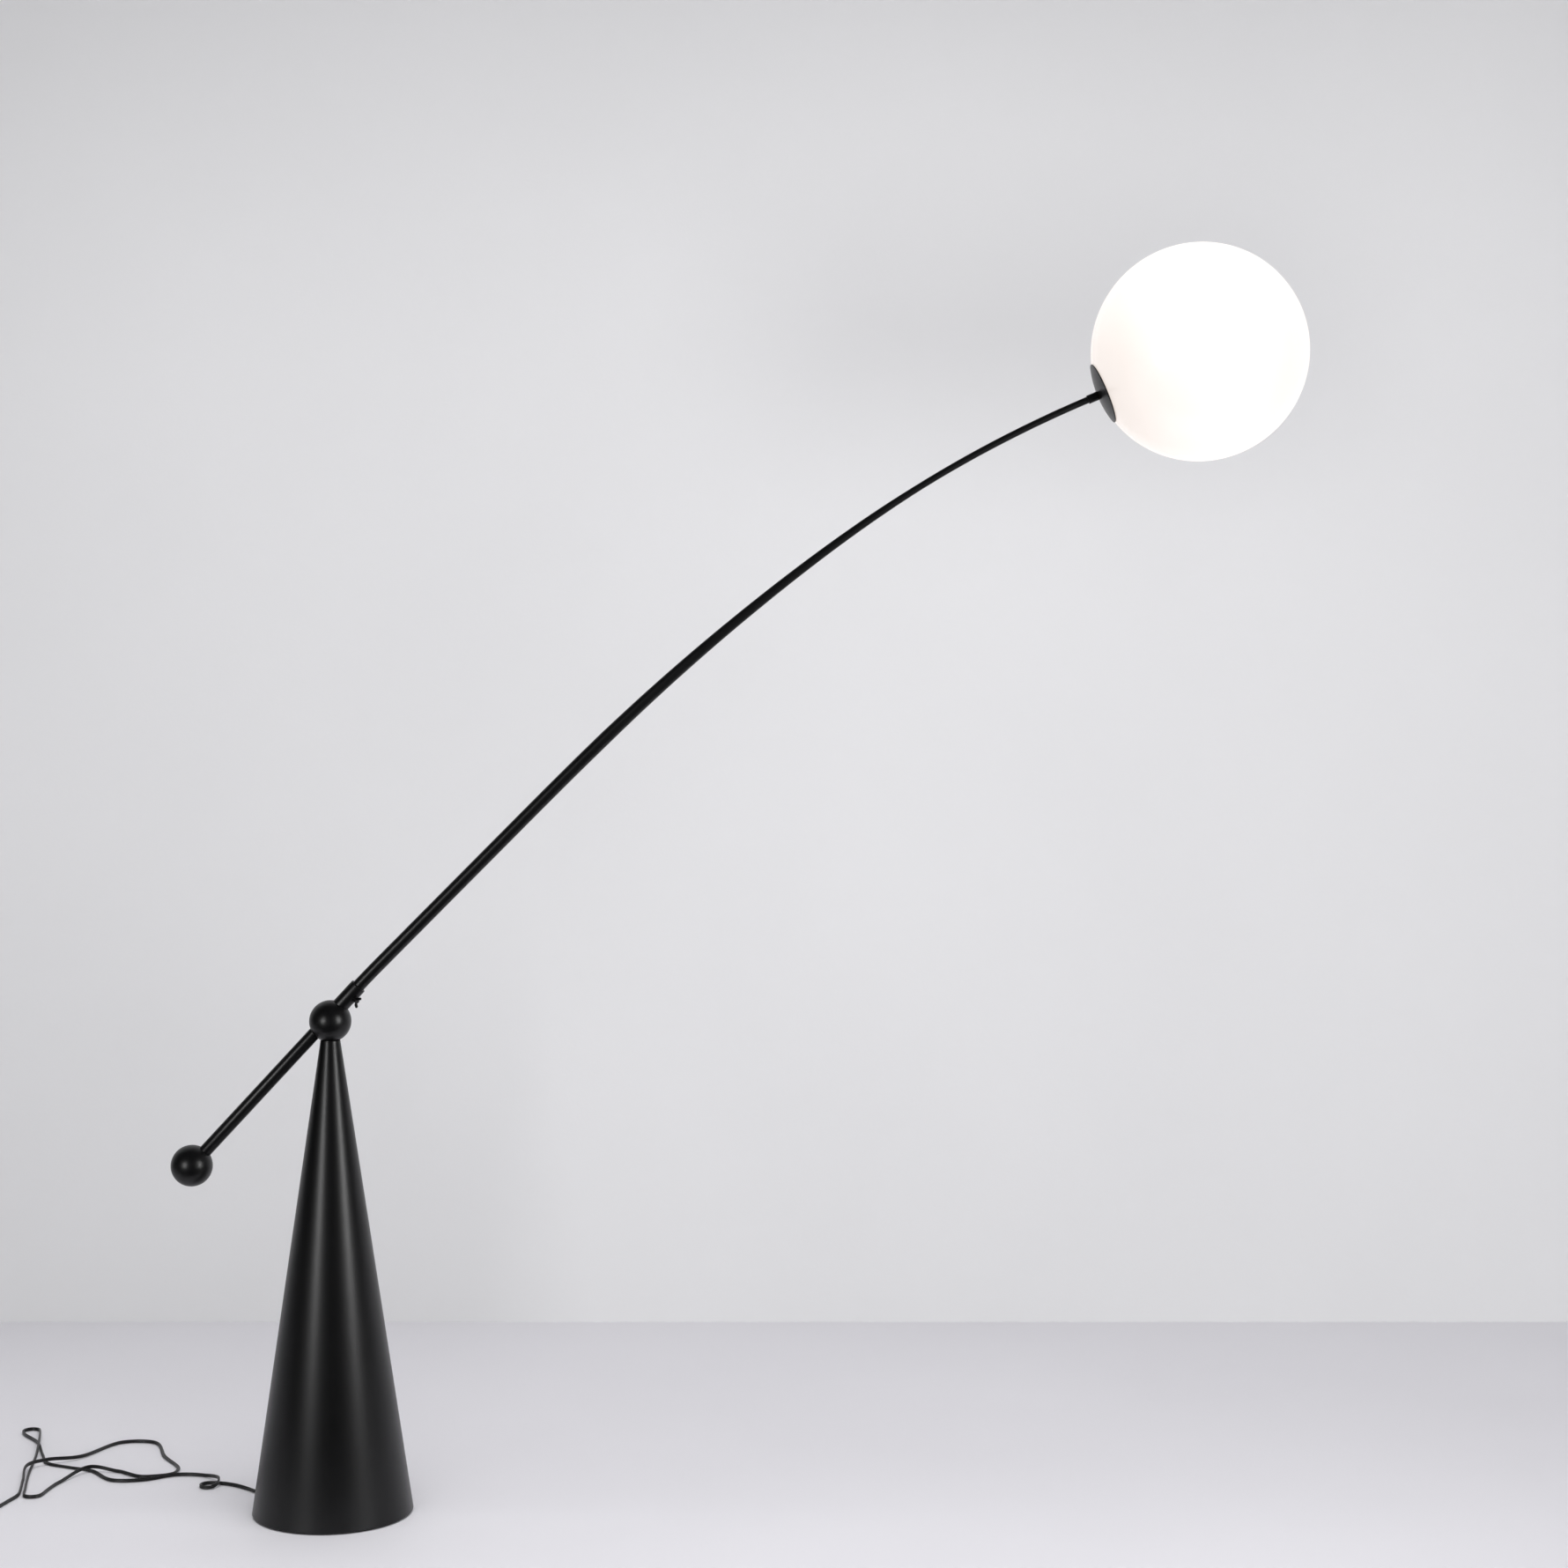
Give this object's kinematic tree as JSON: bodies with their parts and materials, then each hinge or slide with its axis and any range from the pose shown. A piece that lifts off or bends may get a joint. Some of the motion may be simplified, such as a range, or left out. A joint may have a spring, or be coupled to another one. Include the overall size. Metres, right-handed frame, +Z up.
{
  "type": "arc floor lamp",
  "caption": "Arc floor lamp: tall tapered cone base, friction ball joint with a counterweighted tail, a long bent tapering arm and a round opal glass globe; corded, with a foot switch.",
  "frame": {"origin": "centre of the base's underside, on the floor", "axes": "+Z up; the arm reaches towards +X at rest, with the counterweight on the -X side; +Y completes the right-handed frame, away from the side with the wing screw"},
  "size_m": [1.9304, 0.6132, 1.769],
  "materials": {
    "powder_black": "black fine-grain satin powder coat",
    "zinc_steel": "bright zinc-plated steel",
    "black_steel": "black oxide steel",
    "cast_iron": "rough cast iron, dark primer",
    "brass": "plain brass",
    "black_pvc": "black PVC cord sheath",
    "black_plastic": "satin black moulding",
    "black_rubber": "matt black rubber",
    "nylon": "natural nylon",
    "white_plastic": "white moulding",
    "opal_glass": "opal white glass, satin"
  },
  "bodies": {
    "base": {"cone_shell": "powder_black", "floor_pad": "black_rubber", "base_plate": "zinc_steel", "plate_screw_1": "zinc_steel", "plate_screw_2": "zinc_steel", "plate_screw_3": "zinc_steel", "ballast": "cast_iron", "centre_tube": "zinc_steel", "tube_nut_lower": "zinc_steel", "tube_nut_upper": "zinc_steel", "neck_plug": "zinc_steel", "swivel_grub_screw": "zinc_steel", "swivel_washer": "nylon", "cable_gland": "black_rubber", "base_cable": "black_pvc", "terminal_block": "white_plastic", "base_lead": "black_pvc", "cord_run": "black_pvc", "cord_lead_in": "black_pvc", "cord_coil": "black_pvc", "cord_tail": "black_pvc", "switch_lower": "black_plastic", "switch_upper": "black_plastic", "switch_mechanism": "white_plastic", "switch_boot_in": "black_rubber", "switch_boot_out": "black_rubber", "plug_body": "black_plastic", "plug_boot": "black_rubber", "plug_pin_left": "brass", "plug_pin_right": "brass"},
    "foot_button": {"switch_button": "black_plastic"},
    "swivel": {"swivel_yoke": "black_steel"},
    "tilt_head": {"joint_ball": "powder_black", "pivot_bolt": "black_steel", "friction_washer_front": "nylon", "friction_washer_rear": "nylon", "pivot_spacer": "zinc_steel", "joint_lead": "black_pvc", "lower_rod": "powder_black", "counterweight_ball": "powder_black", "counterweight_stud": "zinc_steel", "arm_sleeve": "powder_black", "sleeve_boss": "powder_black"},
    "wing_shank": {"wing_screw_shank": "black_steel"},
    "wing_head": {"wing_screw_wings": "powder_black"},
    "arm": {"arm_tube": "powder_black", "arm_lead": "black_pvc", "dish_collar": "powder_black", "dish": "powder_black", "nipple": "brass", "globe_gallery": "zinc_steel", "holder_nut": "zinc_steel", "lampholder_cap": "black_plastic", "lampholder_insert": "white_plastic", "lampholder_ring": "black_plastic", "bulb_cap": "zinc_steel", "bulb_body": "white_plastic", "bulb_dome": "opal_glass"},
    "globe_seal": {"globe_gasket": "black_rubber"},
    "globe_glass": {"globe": "opal_glass"}
  },
  "joints": [
    {"name": "foot_switch_press", "type": "slide", "parent": "base", "child": "foot_button", "axis": [0, 0, -1], "range_m": [0, 0.003], "stiffness_N_per_m": 900, "springref_m": -0.0015},
    {"name": "arm_swivel", "type": "hinge", "parent": "base", "child": "swivel", "pos_m": [0, 0, 0.6907], "axis": [0, 0, 1], "range_deg": [-170, 170]},
    {"name": "arm_tilt", "type": "hinge", "parent": "swivel", "child": "tilt_head", "pos_m": [0, 0, 0.6907], "axis": [0, -1, 0], "range_deg": [-18, 5]},
    {"name": "wing_screw_travel", "type": "slide", "parent": "tilt_head", "child": "wing_shank", "axis": [0.5999, -0.5736, -0.5578], "range_m": [0, 0.0014]},
    {"name": "wing_screw_turn", "type": "hinge", "parent": "wing_shank", "child": "wing_head", "pos_m": [0.02905, 0, 0.72855], "axis": [0.5999, -0.5736, -0.5578], "range_deg": [0, 720]},
    {"name": "arm_turn", "type": "hinge", "parent": "tilt_head", "child": "arm", "pos_m": [-0.0033, 0, 0.69376], "axis": [0.681, 0, 0.7323], "range_deg": [-120, 120]},
    {"name": "globe_travel", "type": "slide", "parent": "arm", "child": "globe_seal", "axis": [0.9201, 0, 0.3917], "range_m": [0, 0.008]},
    {"name": "globe_unscrew", "type": "hinge", "parent": "globe_seal", "child": "globe_glass", "pos_m": [1.20805, 0, 1.61929], "axis": [0.9201, 0, 0.3917], "range_deg": [0, 720]}
  ],
  "couplings": [
    {"joint": "wing_screw_turn", "follows": "wing_screw_travel", "rad_per_m": 8976},
    {"joint": "globe_travel", "follows": "globe_unscrew", "m_per_rad": 0.00063662}
  ]
}
